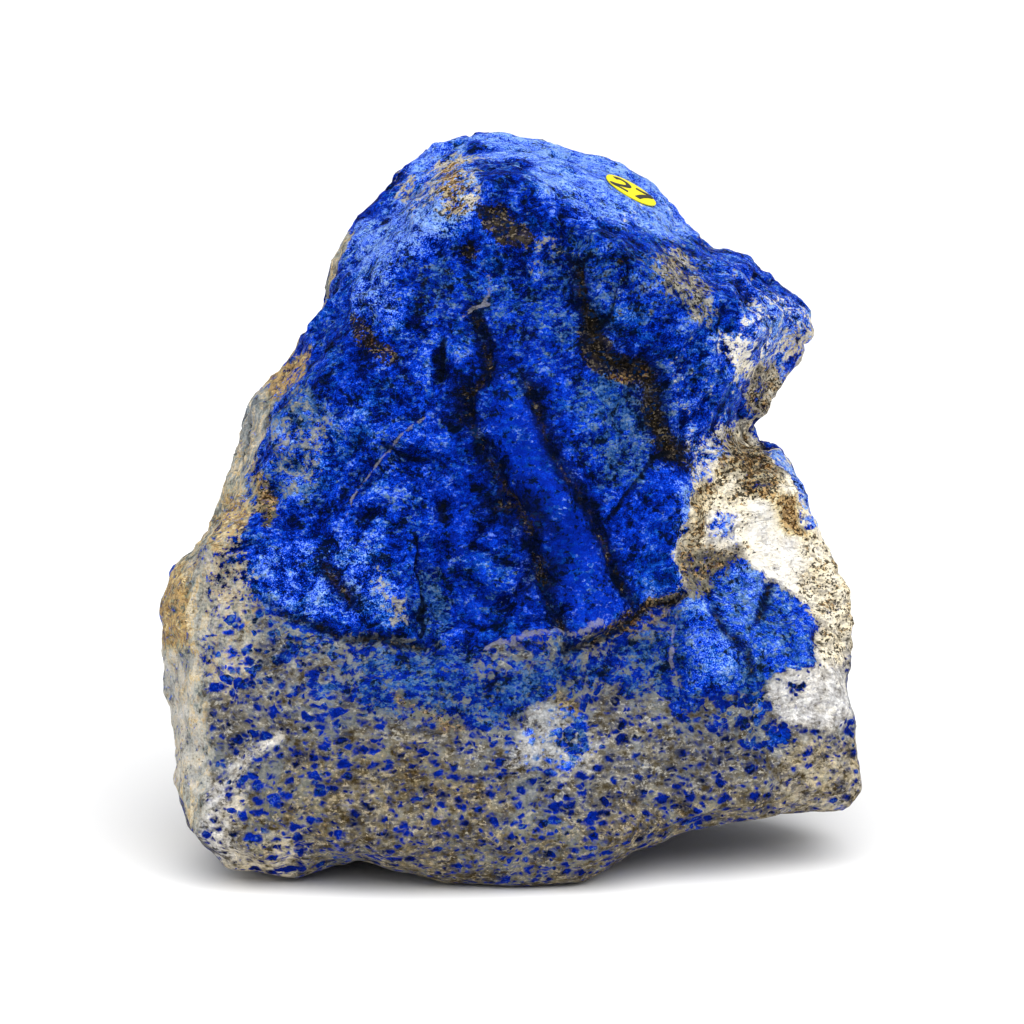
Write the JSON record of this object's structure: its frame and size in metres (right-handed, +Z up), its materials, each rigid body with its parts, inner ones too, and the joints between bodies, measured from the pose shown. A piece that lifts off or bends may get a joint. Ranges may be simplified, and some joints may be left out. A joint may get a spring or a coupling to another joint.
{
  "type": "rough lapis lazuli specimen",
  "caption": "Rough broken lump of blue lapis lazuli in grey calcite-rich matrix, standing on a small flat spot, with a round paper number label on its top slope.",
  "frame": {"origin": "on the ground, under the middle of the bounding box of the standing stone", "axes": "+Z up; -Y is where the main blue face looks, which leans back; +X is to the right as that face is looked at, towards the jutting block and the notch"},
  "size_m": [0.0964, 0.0762, 0.0945],
  "materials": {
    "lapis": "satin",
    "label_paper": "matte"
  },
  "bodies": {
    "root": {"stone": "lapis", "label": "label_paper"}
  },
  "joints": []
}
